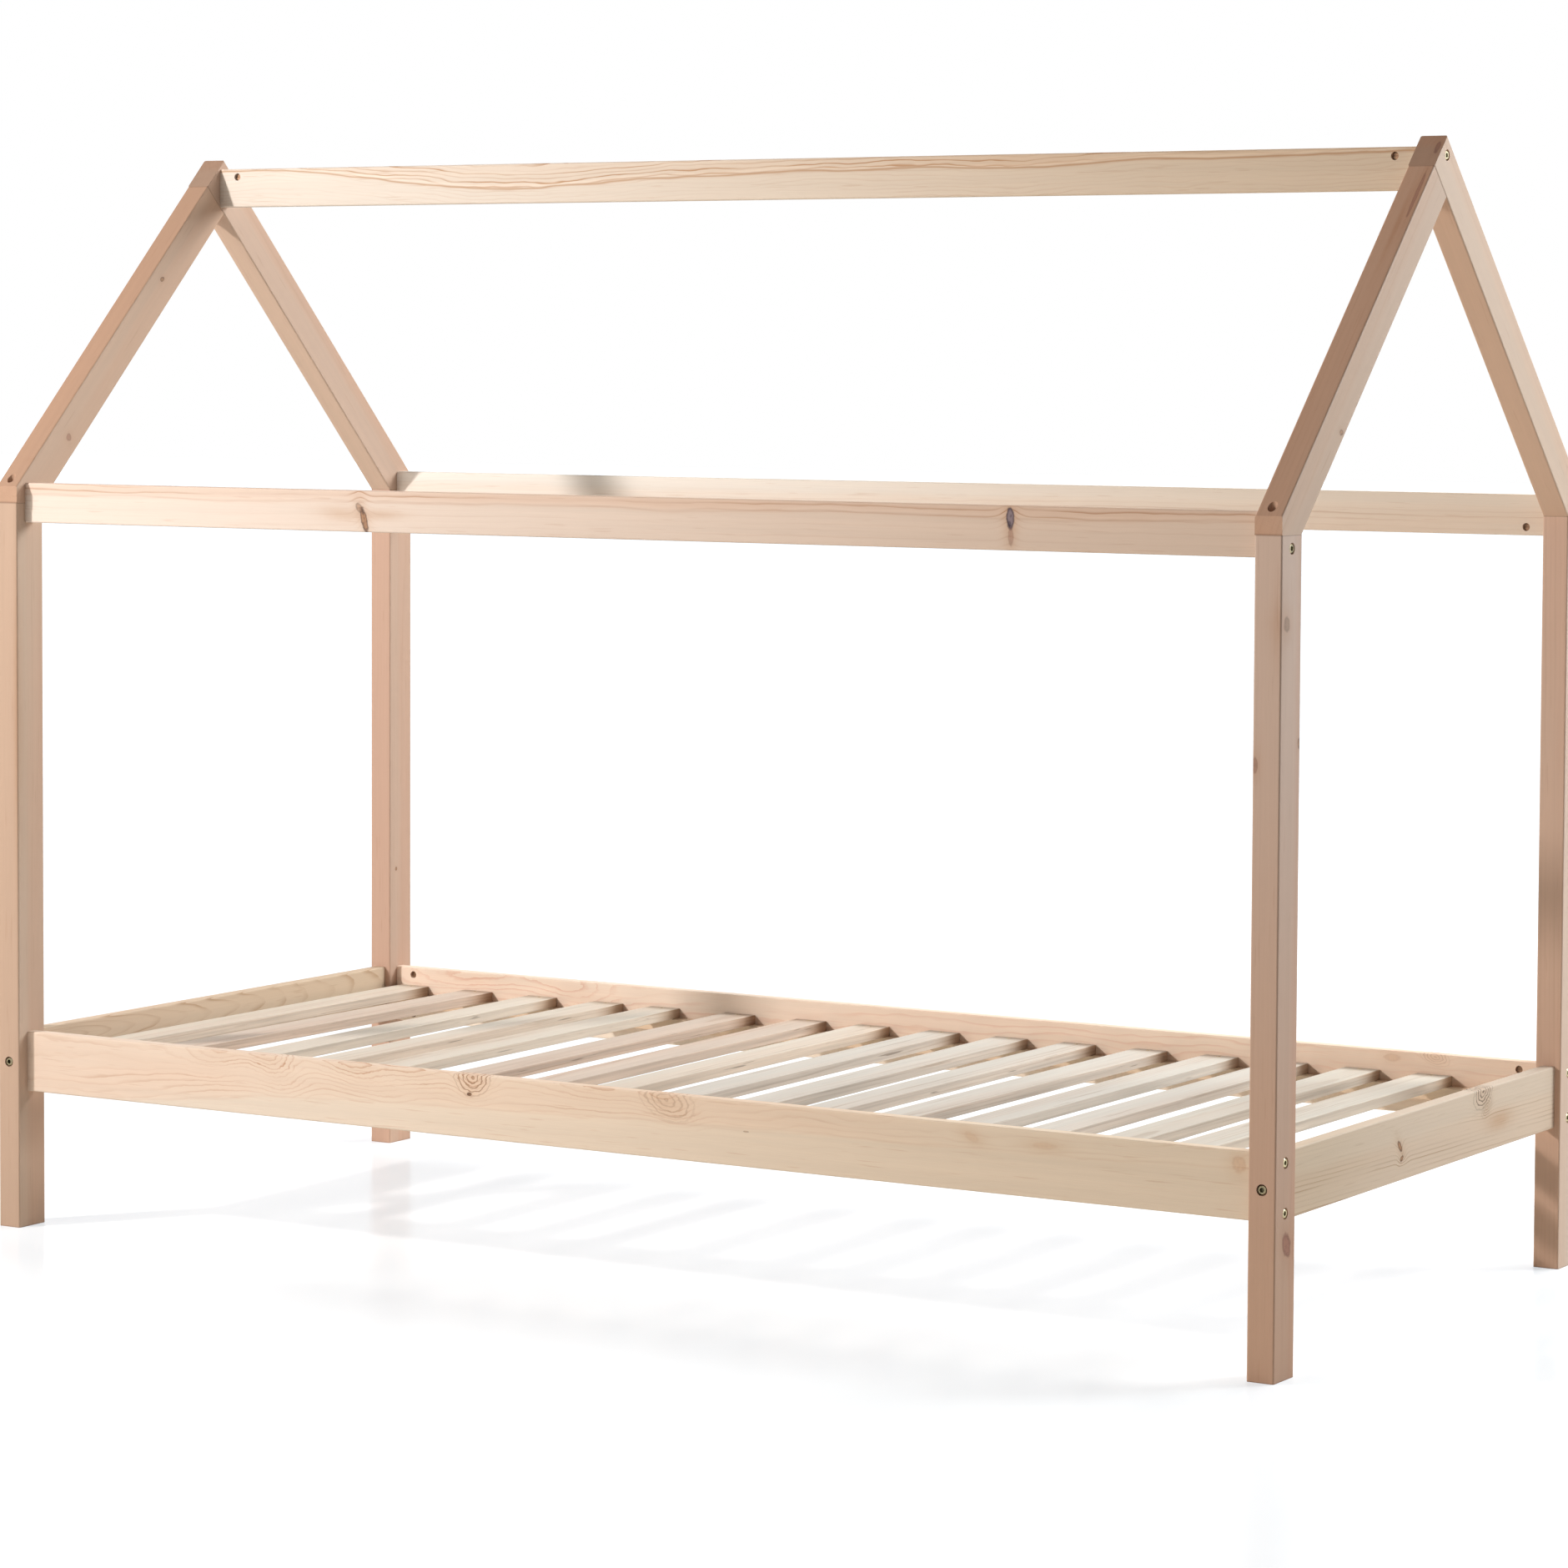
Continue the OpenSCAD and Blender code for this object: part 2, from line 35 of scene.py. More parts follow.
class Graph:
    """Adds nodes to a node tree. A value is a number, a tuple or the output of another node."""

    def __init__(self, tree):
        self.tree = tree

    def put(self, socket, value):
        if isinstance(value, bpy.types.NodeSocket):
            self.tree.links.new(value, socket)
        elif value is not None:
            socket.default_value = value[:3] if socket.type == "VECTOR" else value

    def add(self, kind, inputs=None, **settings):
        node = self.tree.nodes.new(kind)
        for name, value in settings.items():
            setattr(node, name, value)
        for place, value in (inputs or {}).items():
            self.put(node.inputs[place], value)
        return node

    def math(self, operation, a, b=None, c=None, clamp=False):
        values = {0: a, 1: b, 2: c}
        return self.add("ShaderNodeMath", values, operation=operation, use_clamp=clamp).outputs[0]

    def times(self, a, b):
        return self.math("MULTIPLY", a, b)

    def minus(self, a, b):
        return self.math("SUBTRACT", a, b)

    def size(self, value):
        return self.math("ABSOLUTE", value)

    def times_add(self, a, b, c):
        return self.math("MULTIPLY_ADD", a, b, c)

    def vector(self, operation, a, b=None):
        node = self.add("ShaderNodeVectorMath", {0: a, 1: b}, operation=operation)
        return node.outputs["Value" if operation in ("LENGTH", "DOT_PRODUCT") else "Vector"]

    def scaled(self, vector, shares):
        """A vector or a colour with each of its parts multiplied."""
        return self.vector("MULTIPLY", vector, shares)

    def join(self, x, y, z):
        return self.add("ShaderNodeCombineXYZ", {0: x, 1: y, 2: z}).outputs[0]

    def split(self, vector):
        return self.add("ShaderNodeSeparateXYZ", {0: vector}).outputs

    def all_three(self, value):
        return self.join(value, value, value)

    def object_place(self):
        return self.add("ShaderNodeTexCoord").outputs["Object"]

    def noise(self, place, detail, roughness=0.5, output=0):
        values = {"Vector": place, "Scale": 1.0, "Detail": detail, "Roughness": roughness}
        return self.add("ShaderNodeTexNoise", values).outputs[output]

    def fade(self, value, start, end, low=0.0, high=1.0):
        """Smooth step of value from low at start to high at end."""
        values = {0: value, 1: start, 2: end, 3: low, 4: high}
        return self.add("ShaderNodeMapRange", values, interpolation_type="SMOOTHSTEP").outputs[0]

    def mix(self, share, a, b):
        return self.add("ShaderNodeMix", {0: share, 6: a, 7: b}, data_type="RGBA").outputs[2]

    def mix_tint(self, share, colour, tint):
        """Colour multiplied by tint, as far as share goes."""
        return self.mix(share, colour, self.scaled(colour, tint))

    def bell(self, value, width):
        """1 where value is 0, falling off smoothly over width."""
        share = self.math("DIVIDE", value, width)
        return self.math("EXPONENT", self.times(self.times(share, share), -1.0))

    def lift(self, colour, noise, amount):
        """Colour made lighter and darker by a noise whose middle is 0.5."""
        gain = self.times_add(noise, amount, 1.0 - amount / 2)
        return self.scaled(colour, self.all_three(gain))

    def add_shaders(self, first, second):
        return self.add("ShaderNodeAddShader", {0: first, 1: second}).outputs[0]

    def mix_shaders(self, share, first, second):
        return self.add("ShaderNodeMixShader", {0: share, 1: first, 2: second}).outputs[0]

    def finish(self, shader, kind="ShaderNodeOutputMaterial"):
        self.put(self.add(kind).inputs["Surface"], shader)


def sockets(kind, *labels):
    return {label: "NodeSocket" + kind for label in labels}


def new_group(name, inputs, outputs):
    tree = bpy.data.node_groups.new(name, "ShaderNodeTree")
    for direction, kinds in (("INPUT", inputs), ("OUTPUT", outputs)):
        for label, kind in kinds.items():
            tree.interface.new_socket(label, in_out=direction, socket_type=kind)
    given = tree.nodes.new("NodeGroupInput").outputs
    result = tree.nodes.new("NodeGroupOutput").inputs
    return tree, Graph(tree), given, result


def empty_graph(owner):
    """Node graph of a material or a world, with no nodes in it."""
    owner.use_nodes = True
    owner.node_tree.nodes.clear()
    return Graph(owner.node_tree)


def new_material(name):
    material = bpy.data.materials.new(name)
    return material, empty_graph(material)


# How fine each noise in the pine is, per metre along the grain, across the board and through it
FINENESS = {
    "wander": (1.3, 4, 4), "flame": (7, 24, 24), "heart edge": (4, 14, 14), "warm patch": (1.6, 16, 16),
    "ring patch": (4, 40, 40), "fleck": (15, 300, 300), "fibre": (12, 700, 700),
    "streak": (1.4, 75, 75), "band": (0.9, 16, 16),
}

# A ring darkens between these shares of its width, and then ends sharply
RING_DARKENS, RING_DARKEST = 0.45, 0.92
RING_SHARPNESS = 1.7

# The edge of the heartwood in metres: how far it waves, where it begins and ends, and the dark line on it
# with a pale line beside it
HEART_WAVE = 0.022
HEART_BEGINS, HEART_ENDS = -0.007, 0.009
DARK_LINE_WIDTH = 0.0014
PALE_LINE_PLACE, PALE_LINE_WIDTH = 0.0036, 0.0018

# Noise levels between which the rings go from faint to strong, and between which the flecks appear
RING_PATCH_LEVELS, FAINT_RING, STRONG_RING = (0.32, 0.66), 0.15, 1.25
FLECK_LEVELS, FLECK_DARKNESS = (0.66, 0.76), 0.25

# Strength of the weakest ring, and of the rings outside the heartwood
WEAKEST_RING, SAPWOOD_RING = 0.25, 0.2

# How much the fibres, streaks and bands and the pale line lighten and darken the colour, how the noise of
# the warm patches is stretched, and how much the rings add to the height of the surface
FIBRE_LIFT, STREAK_LIFT, BAND_LIFT, PALE_LINE_LIFT = 0.10, 0.12, 0.10, 0.24
WARM_GAIN, WARM_OFFSET = 1.4, -0.2
RING_HEIGHT = 0.6


def late_wood(g, given, noise):
    """Late wood of the rings, from 0 to 1. They are pipes round a pith that wanders along the board."""
    def sway(name, detail, amount):
        """Sideways push of the rings, in metres either way."""
        push = g.vector("SUBTRACT", noise(name, detail, output=1), HALF)
        return g.scaled(push, g.join(0.0, amount, amount))

    along = g.split(given["Place"])[0]
    drift = g.scaled(given["Lean"], g.all_three(along))
    from_pith = g.vector("SUBTRACT", g.vector("SUBTRACT", given["Place"], given["Pith"]), drift)
    from_pith = g.vector("SUBTRACT", from_pith, g.join(0.0, given["Curve"], 0.0))
    from_pith = g.vector("ADD", from_pith, sway("wander", 0, given["Wave"]))
    from_pith = g.vector("ADD", from_pith, sway("flame", 3, given["Flame"]))
    radius = g.vector("LENGTH", g.scaled(from_pith, (0, 1, 1)))
    phase = g.math("DIVIDE", g.math("ADD", radius, given["Bend"]), given["Spacing"])
    step = g.math("FRACT", phase)
    ring = g.times(g.fade(step, RING_DARKENS, RING_DARKEST), g.fade(step, RING_DARKEST, 1.0, 1.0, 0.0))
    ring = g.math("POWER", ring, RING_SHARPNESS)
    number = g.math("ADD", g.math("FLOOR", phase), given["Seed"])
    strength = g.add("ShaderNodeTexWhiteNoise", {"W": number}, noise_dimensions="1D").outputs[0]
    return g.times(ring, g.times_add(strength, 1 - WEAKEST_RING, WEAKEST_RING))


def heart_edge(g, given, noise):
    """How far a point lies inside the wavy edge of the heartwood, in metres."""
    across = g.split(given["Place"])[1]
    edge = g.minus(g.minus(across, given["Heart"]), given["Curve"])
    edge = g.times(edge, given["Side"])
    return g.times_add(g.minus(noise("heart edge", 3), 0.5), HEART_WAVE, edge)


def pine_group():
    """Pine from a board's own coordinates in metres: X along the grain, Y across its width, Z through it."""
    tree, g, given, result = new_group(
        "pine",
        sockets("Vector", "Place", "Pith", "Lean")
        | sockets("Float", "Spacing", "Seed", "Wave", "Flame", "Bend", "Heart", "Curve", "Side", "Line")
        | sockets("Color", "Early", "Late", "Warm") | sockets("Float", "Contrast"),
        sockets("Color", "Colour") | sockets("Float", "Height"),
    )
    place = g.vector("ADD", given["Place"], g.all_three(given["Seed"]))

    def noise(name, detail, roughness=0.5, output=0):
        return g.noise(g.scaled(place, FINENESS[name]), detail, roughness, output)

    # Heartwood is warmer in patches, and its rings show more; rings fade in patches everywhere
    late = late_wood(g, given, noise)
    edge = heart_edge(g, given, noise)
    inner = g.fade(edge, HEART_BEGINS, HEART_ENDS)
    late = g.times(late, g.times_add(inner, 1 - SAPWOOD_RING, SAPWOOD_RING))
    late = g.times(late, g.fade(noise("ring patch", 2), *RING_PATCH_LEVELS, FAINT_RING, STRONG_RING))
    late = g.math("MULTIPLY", late, given["Contrast"], clamp=True)
    patch = g.times_add(noise("warm patch", 2), WARM_GAIN, WARM_OFFSET)
    warmth = g.math("MULTIPLY", inner, patch, clamp=True)
    colour = g.mix(warmth, given["Early"], given["Warm"])
    fleck = g.times(g.fade(noise("fleck", 1), *FLECK_LEVELS), FLECK_DARKNESS)
    colour = g.mix(g.math("MAXIMUM", late, fleck), colour, given["Late"])

    dark_line = g.times(g.bell(edge, DARK_LINE_WIDTH), given["Line"])
    pale_line = g.times(g.bell(g.minus(edge, PALE_LINE_PLACE), PALE_LINE_WIDTH), given["Line"])
    colour = g.mix(dark_line, colour, given["Late"])
    colour = g.lift(colour, g.times_add(pale_line, 0.5, 0.5), PALE_LINE_LIFT)
    fibre = noise("fibre", 3, 0.65)
    colour = g.lift(colour, fibre, FIBRE_LIFT)
    colour = g.lift(colour, noise("streak", 2), STREAK_LIFT)
    colour = g.lift(colour, noise("band", 2), BAND_LIFT)
    g.put(result["Colour"], colour)
    g.put(result["Height"], g.times_add(late, RING_HEIGHT, fibre))
    return tree


# Parts of a knot, as shares of its radius: how far it bends the rings and stains the wood, where its core
# fades out, where its rim lies and how wide that is, and where its arcs fade out
BEND_REACH, STAIN_REACH = 2.3, 1.8
CORE_FADES = (0.7, 1.1)
RIM_PLACE, RIM_WIDTH = 0.85, 0.22
ARCS_FADE = (1.6, 2.7)
ARCS_CLOSENESS = 12.0
KNOT_ROUGHNESS = (0.6, 0.6, 0.6)
KNOT_FINENESS, SPOT_FINENESS = (90, 140, 140), (260, 130, 130)
SPOT_LEVELS, SPOT_SHARE = (0.5, 0.65), 0.6
ARC_LEVELS = (0.2, 1.0)


def knot_group():
    """A knot in a board's own coordinates: how far it bends the rings, its core, its arcs and the stain."""
    tree, g, given, result = new_group(
        "knot",
        sockets("Vector", "Place", "Spot", "Radii") | sockets("Float", "Slant", "Rings", "Dark"),
        sockets("Float", "Bend", "Core", "Shade", "Halo", "Near", "Arcs"),
    )
    rough = g.noise(g.scaled(given["Place"], KNOT_FINENESS), 2, output=1)
    away = g.vector("SUBTRACT", given["Place"], given["Spot"])
    lean = g.join(g.times(g.split(away)[1], given["Slant"]), 0.0, 0.0)
    away = g.vector("DIVIDE", g.vector("ADD", away, lean), given["Radii"])
    away = g.vector("ADD", away, g.scaled(g.vector("SUBTRACT", rough, HALF), KNOT_ROUGHNESS))
    distance = g.vector("LENGTH", away)
    near = g.bell(distance, BEND_REACH)
    rim = g.bell(g.minus(distance, RIM_PLACE), RIM_WIDTH)
    spots = g.fade(g.noise(g.scaled(given["Place"], SPOT_FINENESS), 1), *SPOT_LEVELS)
    wave = g.math("SINE", g.times(distance, ARCS_CLOSENESS))
    g.put(result["Near"], near)
    g.put(result["Bend"], g.times(near, given["Rings"]))
    g.put(result["Core"], g.times(g.fade(distance, *CORE_FADES, 1.0, 0.0), given["Dark"]))
    g.put(result["Shade"], g.math("ADD", g.times(spots, SPOT_SHARE), rim, clamp=True))
    g.put(result["Halo"], g.bell(distance, STAIN_REACH))
    g.put(result["Arcs"], g.times(g.fade(wave, *ARC_LEVELS), g.fade(distance, *ARCS_FADE, 1.0, 0.0)))
    return tree


PINE = pine_group()
KNOT = knot_group()
STAIN = (0.84, 0.72, 0.62)

# The middle and the rim of a knot
TONES = {
    "brown": (rgb(166, 124, 92), rgb(92, 64, 50)),
    "black": (rgb(134, 116, 122), rgb(52, 34, 48)),
    "grey": (rgb(128, 108, 92), rgb(92, 78, 68)),
    "red": (rgb(150, 102, 86), rgb(122, 78, 66)),
    "tan": (rgb(214, 168, 128), rgb(186, 134, 96)),
}

# Directions along the grain, across the board and through it, for grain along X, along Y, upright, and up
# the front and the back slope of the roof
ALONG = (Vector((1, 0, 0)), Vector((0, 0, 1)), Vector((0, 1, 0)))
ACROSS = (Vector((0, 1, 0)), Vector((0, 0, 1)), Vector((1, 0, 0)))
UPRIGHT = (Vector((0, 0, 1)), Vector((0, 1, 0)), Vector((1, 0, 0)))
SLOPE = math.sqrt(0.5)
FRONT_SLOPE = (Vector((0, SLOPE, SLOPE)), Vector((0, -SLOPE, SLOPE)), Vector((1, 0, 0)))
BACK_SLOPE = (Vector((0, -SLOPE, SLOPE)), Vector((0, SLOPE, SLOPE)), Vector((1, 0, 0)))

# Early wood, late wood and heartwood of each kind of board, the spacing of its rings in metres, how far
# their middle wanders, how flamed they are, and how strongly they show
KINDS = {
    "post": {
        "early": rgb(206, 178, 160), "late": rgb(184, 146, 124), "warm": rgb(208, 168, 146),
        "spacing": 0.0060, "wave": 0.006, "flame": 0.002, "contrast": 0.34,
    },
    "rafter": {
        "early": rgb(206, 178, 160), "late": rgb(184, 146, 124), "warm": rgb(208, 172, 150),
        "spacing": 0.0060, "wave": 0.008, "flame": 0.002, "contrast": 0.30,
    },
    "beam": {
        "early": rgb(236, 220, 205), "late": rgb(202, 164, 136), "warm": rgb(232, 204, 182),
        "spacing": 0.0050, "wave": 0.006, "flame": 0.004, "contrast": 0.45,
    },
    "side_rail": {
        "early": rgb(238, 220, 200), "late": rgb(198, 146, 110), "warm": rgb(238, 208, 184),
        "spacing": 0.0070, "wave": 0.006, "flame": 0.012, "contrast": 0.60,
    },
    "end_rail": {
        "early": rgb(220, 200, 179), "late": rgb(184, 154, 126), "warm": rgb(218, 192, 168),
        "spacing": 0.0055, "wave": 0.006, "flame": 0.004, "contrast": 0.60,
    },
    "ledger": {
        "early": rgb(224, 202, 178), "late": rgb(196, 160, 130), "warm": rgb(222, 190, 162),
        "spacing": 0.0050, "wave": 0.008, "flame": 0.002, "contrast": 0.45,
    },
    "slat": {
        "early": rgb(218, 208, 196), "late": rgb(182, 160, 140), "warm": rgb(217, 200, 185),
        "spacing": 0.0048, "wave": 0.006, "flame": 0.003, "contrast": 0.60,
    },
}

# What sets single boards apart. The heartwood lies on one side of a line across the board, which climbs by
# slope and dips at each (place, width, depth), and the rings follow it. The pith is given across and through
# the board, and so is its lean. Beyond the point of fading the rings and the heartwood show less. The tint
# is for the whole board, partly its own tone and partly painted light and shade that the lamps don't give.
# The tip and tail tints are painted light and shade at its upper or right end and at its other end, and the
# flank tint is painted light and shade on the faces to the left and right.
WARM_SLAT = {"tint": (0.90, 0.83, 0.81), "contrast": 0.8}
COOL_SLAT = {"tint": (0.93, 0.97, 1.02)}
BOARDS = {
    "post_front_left": {"tint": (0.84, 0.82, 0.78), "flank_painted_light": (1.16, 1.24, 1.30)},
    "post_back_left": {"tint": (1.00, 0.92, 0.90), "flank_painted_light": (0.94, 0.99, 1.00)},
    "post_front_right": {"tint": (0.89, 0.78, 0.70), "tip": (1.12, 1.30, 1.49), "flank_painted_light": (0.90, 0.92, 0.96)},
    "post_back_right": {"tint": (0.96, 0.96, 0.93), "tip": (1.10, 1.12, 1.17), "flank_painted_light": (1.03, 1.16, 1.28)},
    "rafter_front_left": {"tint": (0.81, 0.70, 0.61), "flank_painted_light": (1.22, 1.39, 1.54)},
    "rafter_back_left": {"tint": (1.08, 1.11, 1.11), "flank_painted_light": (0.88, 0.85, 0.85)},
    "rafter_front_right": {"tint": (0.88, 0.77, 0.68), "flank_painted_light": (0.98, 1.13, 1.27)},
    "rafter_back_right": {"tint": (0.98, 0.92, 0.85), "flank_painted_light": (0.98, 1.10, 1.21)},
    "ridge_beam": {
        "tint": (0.98, 1.04, 1.10), "tip": (0.87, 0.77, 0.65), "late": rgb(196, 150, 112), "contrast": 1.1,
        "warm": rgb(234, 206, 182), "heart": 0.010, "slope": 0.014, "side": 1,
        "dips": [(-0.43, 0.18, 0.012), (-0.95, 0.25, -0.030), (0.38, 0.12, 0.006)],
        "line": 0.8, "wave": 0.0, "flame": 0.022, "pith": (0.16, -0.06), "spacing": 0.0062,
    },
    "eave_beam_front": {
        "tint": (0.93, 0.94, 0.99), "tip": (0.88, 0.79, 0.71), "contrast": 0.90, "heart": 0.014, "side": 1,
        "pith": (0.10, 0.04), "flame": 0.010, "spacing": 0.0060, "line": 0.2,
    },
    "eave_beam_back": {
        "tint": (1.10, 1.22, 1.35), "tip": (0.85, 0.77, 0.69), "contrast": 0.45, "pith": (-0.08, 0.05),
        "flame": 0.010, "spacing": 0.0065,
    },
    "side_rail_front": {
        "tint": (1.08, 1.10, 1.15), "tip": (0.85, 0.82, 0.76), "tail_painted_light": (0.85, 0.87, 0.89), "contrast": 0.45,
        "heart": 0.002, "slope": 0.018, "dips": [(-0.95, 0.30, 0.034)], "side": 1, "line": 0.10,
        "pith": (0.095, -0.045), "fading": 0.20, "flame": 0.030, "spacing": 0.0075,
    },
    "side_rail_back": {
        "tint": (1.04, 1.07, 1.12), "tip": (0.94, 0.88, 0.83), "early": rgb(245, 230, 212),
        "late": rgb(224, 174, 148), "warm": rgb(245, 218, 197), "contrast": 0.38, "heart": -0.020, "side": 1,
        "spacing": 0.0120, "pith": (-0.03, -0.040), "lean": (0.01, 0.03), "flame": 0.040,
    },
    "end_rail_right": {
        "tint": (0.91, 0.91, 0.94), "tail_painted_light": (0.94, 0.93, 0.88), "contrast": 0.85, "heart": 0.010, "side": -1,
        "pith": (-0.10, 0.05), "lean": (-0.020, 0.0),
    },
    "end_rail_left": {
        "tint": (0.98, 0.97, 0.96), "tip": (0.93, 0.94, 0.92), "late": rgb(178, 138, 104), "heart": -0.060,
        "side": 1, "contrast": 0.65, "pith": (0.024, -0.025), "lean": (0.0, -0.078), "flame": 0.006,
        "wave": 0.0,
    },
    "slat_15": {"tint": (0.90, 0.93, 0.95)},
    "slat_16": {"tint": (0.94, 0.97, 0.99)},
}
BOARDS.update({f"slat_{number:02d}": WARM_SLAT for number in (2, 6, 7)})
BOARDS.update({f"slat_{number:02d}": COOL_SLAT for number in range(9, 15)})

# Depth of a knot that goes right through its board
THROUGH = 1.0


def knot(spot, radii, slant=0.0, rings=0.0, dark=0.0, stain=0.3, arcs=0.0, tone="brown"):
    """A knot at a point of the frame: its size along, across and through the board, how many rings it bends
    towards the pith, and how dark its core, the stain round it and its own arcs are, from 0 to 1."""
    return {
        "spot": spot, "radii": radii, "slant": slant, "rings": rings,
        "dark": dark, "stain": stain, "arcs": arcs, "tone": tone,
    }


KNOTS = {
    "eave_beam_front": [
        knot((-0.386, -0.471, 1.052), (0.0060, 0.0200, THROUGH), slant=0.25, rings=1.5, dark=0.95, stain=0.5),
        knot((-0.395, -0.471, 1.069), (0.0060, 0.0070, THROUGH), slant=0.4, dark=0.6, stain=0.4),
        knot((-0.425, -0.471, 1.060), (0.0220, 0.0060, THROUGH), slant=0.8, stain=0.7),
        knot((-0.358, -0.471, 1.060), (0.0220, 0.0040, THROUGH), stain=0.7),
        knot((0.640, -0.471, 1.077), (0.0060, 0.0165, THROUGH), rings=1.2, dark=1.0, stain=0.8, tone="black"),
        knot((0.641, -0.471, 1.053), (0.0045, 0.0130, THROUGH), dark=0.45, stain=0.5, tone="red"),
    ],
    "side_rail_front": [
        knot((-0.201, -0.471, 0.284), (0.0135, 0.0115, THROUGH), rings=-5.0, stain=0.4, arcs=0.8),
        knot((-0.206, -0.471, 0.261), (0.0042, 0.0026, THROUGH), dark=1.0, stain=0.5),
        knot((0.118, -0.471, 0.280), (0.0190, 0.0130, THROUGH), slant=0.5, rings=-4.0, stain=0.4, arcs=0.35),
        knot((-0.410, -0.471, 0.292), (0.0260, 0.0160, THROUGH), slant=0.8, rings=-4.0, stain=0.2),
        knot((-0.560, -0.471, 0.296), (0.0180, 0.0220, THROUGH), slant=0.6, rings=-5.0, stain=0.2),
        knot((-0.640, -0.471, 0.294), (0.0260, 0.0180, THROUGH), slant=-0.3, rings=-4.0, stain=0.2),
        knot((-0.310, -0.471, 0.292), (0.0260, 0.0120, THROUGH), slant=0.8, rings=-2.5, stain=0.1),
        knot((0.020, -0.471, 0.292), (0.0400, 0.0140, THROUGH), slant=-0.8, rings=-2.0, stain=0.1),
        knot((0.245, -0.471, 0.248), (0.0050, 0.0013, THROUGH), dark=0.5, stain=0.0),
        knot((0.590, -0.471, 0.271), (0.0100, 0.0070, THROUGH), slant=0.8, dark=0.15, stain=0.5, tone="tan"),
        knot((0.697, -0.471, 0.269), (0.0190, 0.0050, THROUGH), dark=0.15, stain=0.5, tone="tan"),
        knot((0.975, -0.471, 0.270), (0.0100, 0.0120, THROUGH), dark=0.30, stain=0.4, tone="tan"),
    ],
    "side_rail_back": [
        knot((0.768, 0.451, 0.278), (0.0140, 0.0060, THROUGH), dark=0.25, stain=0.3, tone="tan"),
        knot((0.835, 0.451, 0.284), (0.0100, 0.0060, THROUGH), slant=0.5, rings=2.0, stain=0.3, arcs=0.3),
        knot((-0.650, 0.451, 0.270), (0.0300, 0.0140, THROUGH), slant=0.8, rings=3.0, stain=0.2),
        knot((-0.840, 0.451, 0.280), (0.0500, 0.0100, THROUGH), slant=-0.5, rings=2.0, stain=0.2),
    ],
    "end_rail_right": [
        knot((1.026, -0.094, 0.246), (0.0058, 0.0088, 0.014), slant=0.6, rings=2.0, dark=1.0, stain=0.6),
        knot((1.026, -0.088, 0.229), (0.0046, 0.0046, 0.012), slant=-0.5, rings=1.0, dark=1.0, stain=0.4),
        knot((1.026, 0.180, 0.284), (0.0140, 0.0105, 0.020), slant=-0.3, rings=3.5, stain=0.5,
             arcs=1.0, tone="grey"),
        knot((1.026, 0.194, 0.262), (0.0080, 0.0070, 0.012), slant=-0.5, rings=1.0, stain=0.6,
             arcs=0.4, tone="grey"),
        knot((1.026, 0.236, 0.238), (0.0230, 0.0075, 0.012), stain=1.0),
    ],
    "post_front_right": [
        knot((1.035, -0.474, 0.953), (0.0105, 0.0090, 0.012), rings=0.8, dark=0.50, stain=0.6, tone="grey"),
        knot((1.035, -0.457, 0.172), (0.0160, 0.0135, 0.010), slant=0.3, rings=0.8, dark=0.85,
             stain=0.5, tone="red"),
        knot((1.001, -0.490, 0.777), (0.0110, 0.0100, 0.004), rings=0.6, dark=0.5, stain=0.6, tone="red"),
        knot((1.030, -0.490, 0.950), (0.0300, 0.0100, 0.005), stain=0.5),
        knot((1.035, -0.436, 0.802), (0.0070, 0.0040, 0.010), rings=0.6, dark=0.7),
    ],
    "post_front_left": [
        knot((-0.999, -0.490, 0.760), (0.1200, 0.0100, 0.003), stain=0.7),
    ],
    "post_back_left": [
        knot((-0.997, 0.449, 0.447), (0.0035, 0.0030, 0.008), rings=0.5, dark=0.9),
    ],
    "rafter_front_left": [
        knot((-0.997, -0.152, 1.394), (0.0050, 0.0040, 0.010), slant=0.3, rings=0.8, dark=0.8),
        knot((-0.997, -0.458, 1.130), (0.0030, 0.0050, 0.010), slant=0.3, rings=0.8, dark=0.9),
        knot((-0.997, -0.372, 1.158), (0.0060, 0.0060, 0.010), rings=0.8, dark=0.5, tone="red"),
    ],
    "rafter_front_right": [
        knot((1.035, -0.320, 1.190), (0.0050, 0.0055, 0.010), slant=0.3, rings=0.8, dark=0.7),
        knot((1.027, -0.080, 1.498), (0.0480, 0.0120, 0.0028), dark=0.6, stain=0.7, tone="red"),
        knot((1.018, -0.120, 1.458), (0.0400, 0.0120, 0.0020), stain=0.8),
    ],
    "rafter_back_right": [
        knot((1.028, -0.016, 1.562), (0.0120, 0.0120, 0.0040), dark=0.6, stain=0.4, tone="red"),
    ],
}


# Distance from the middle of the bed beyond which a point belongs to a slat's end, in metres
SLAT_END_Y = 0.4


def slat_axes(name):
    """Along, across and through a slat; each slat lies a little turned."""
    points = [vertex.co for vertex in NODES[name].data.vertices]
    far = [point for point in points if point.y > SLAT_END_Y]
    near = [point for point in points if point.y < -SLAT_END_Y]
    grain = sum(far, Vector()) / len(far) - sum(near, Vector()) / len(near)
    grain = Vector((grain.x, grain.y, 0)).normalized()
    return grain, Vector((grain.y, -grain.x, 0)), Vector((0, 0, 1))


def board_size(name, axes):
    """A board's middle and half its size along each of its own axes."""
    middle, halves = Vector(), []
    for axis in axes:
        reach = [vertex.co.dot(axis) for vertex in NODES[name].data.vertices]
        middle += axis * (max(reach) + min(reach)) / 2
        halves.append((max(reach) - min(reach)) / 2)
    return middle, halves


def local_place(g, axes, middle):
    """A board's own coordinates, from its middle, one by one and as a vector."""
    offset = g.vector("SUBTRACT", g.object_place(), tuple(middle))
    parts = [g.vector("DOT_PRODUCT", offset, tuple(axis)) for axis in axes]
    return parts, g.join(*parts)


# How much more the rings show close to a knot
KNOT_CONTRAST = 1.2


